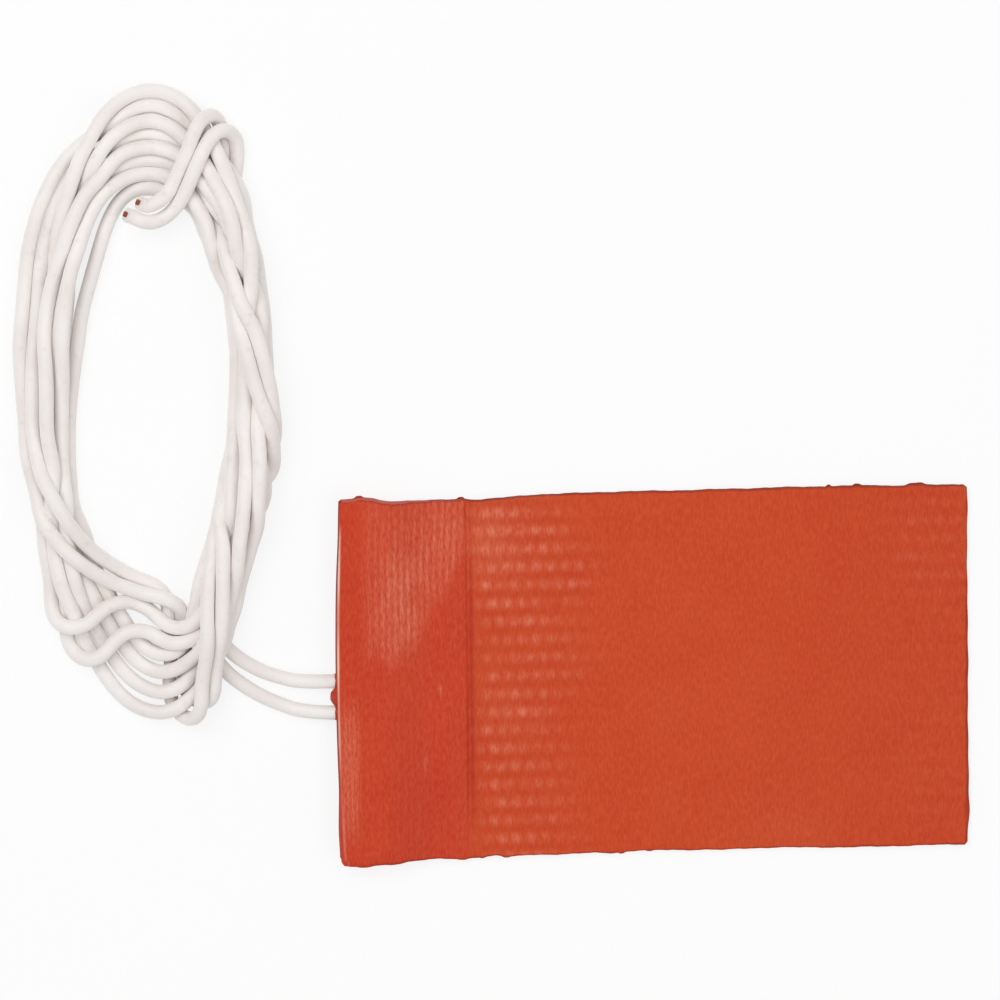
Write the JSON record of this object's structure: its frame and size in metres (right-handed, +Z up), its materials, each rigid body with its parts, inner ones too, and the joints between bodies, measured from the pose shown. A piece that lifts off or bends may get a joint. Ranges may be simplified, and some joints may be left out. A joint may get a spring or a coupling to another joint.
{
  "type": "silicone strip heater",
  "caption": "Flat silicone rubber strip heater with a moulded lead end and insulated leads wound into a hank.",
  "frame": {"origin": "middle of the pad's underside, without the leads and their hank", "axes": "+X along the pad from its lead end to its free end, +Z up through its thickness"},
  "size_m": [0.1985, 0.1638, 0.011],
  "materials": {
    "rubber_sheet": "woven glass relief, satin",
    "rubber_cap": "fine upright ribs, satin",
    "rubber_filler": "smooth, matt",
    "sealant": "smooth, glossy",
    "foil": "etched",
    "terminal": "plain",
    "conductor": "stranded, dull",
    "lead_jacket": "matt, off-white"
  },
  "bodies": {
    "root": {"base_sheet": "rubber_sheet", "heating_element": "foil", "cover_sheet": "rubber_sheet", "terminal_filler": "rubber_filler", "end_cap": "rubber_cap", "exit_sealant": "sealant", "terminal_1": "terminal", "terminal_2": "terminal", "core_1": "conductor", "core_2": "conductor", "lead_1": "lead_jacket", "lead_2": "lead_jacket", "lead_coil": "lead_jacket", "lead_tip_1": "conductor", "lead_tip_2": "conductor"}
  },
  "joints": []
}
